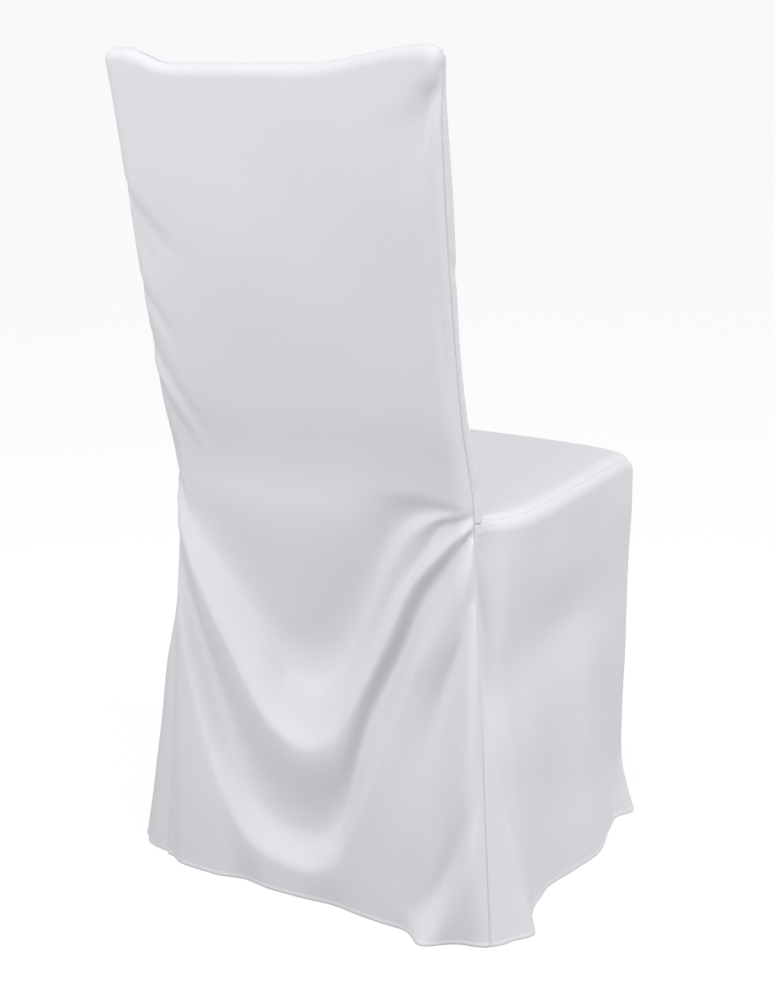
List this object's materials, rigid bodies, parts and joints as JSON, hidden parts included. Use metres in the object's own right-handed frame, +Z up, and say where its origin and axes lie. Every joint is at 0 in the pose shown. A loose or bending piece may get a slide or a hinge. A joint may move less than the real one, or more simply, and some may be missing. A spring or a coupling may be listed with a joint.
{
  "type": "chiavari chair cover",
  "caption": "Full-length fitted cloth cover for a narrow high-backed chair, its outside back draped in swags below the seat.",
  "frame": {"origin": "on the floor under the middle of the cover", "axes": "+Z up, the outside back of the cover towards +Y, the front of the seat towards -Y, the sitter's left towards +X"},
  "size_m": [0.5192, 0.5258, 0.947],
  "materials": {
    "cloth": "matt, smooth off-white polyester"
  },
  "bodies": {
    "root": {"back_panel": "cloth", "inside_back_panel": "cloth", "seat_panel": "cloth", "right_skirt": "cloth", "left_skirt": "cloth", "front_skirt": "cloth"}
  },
  "joints": []
}
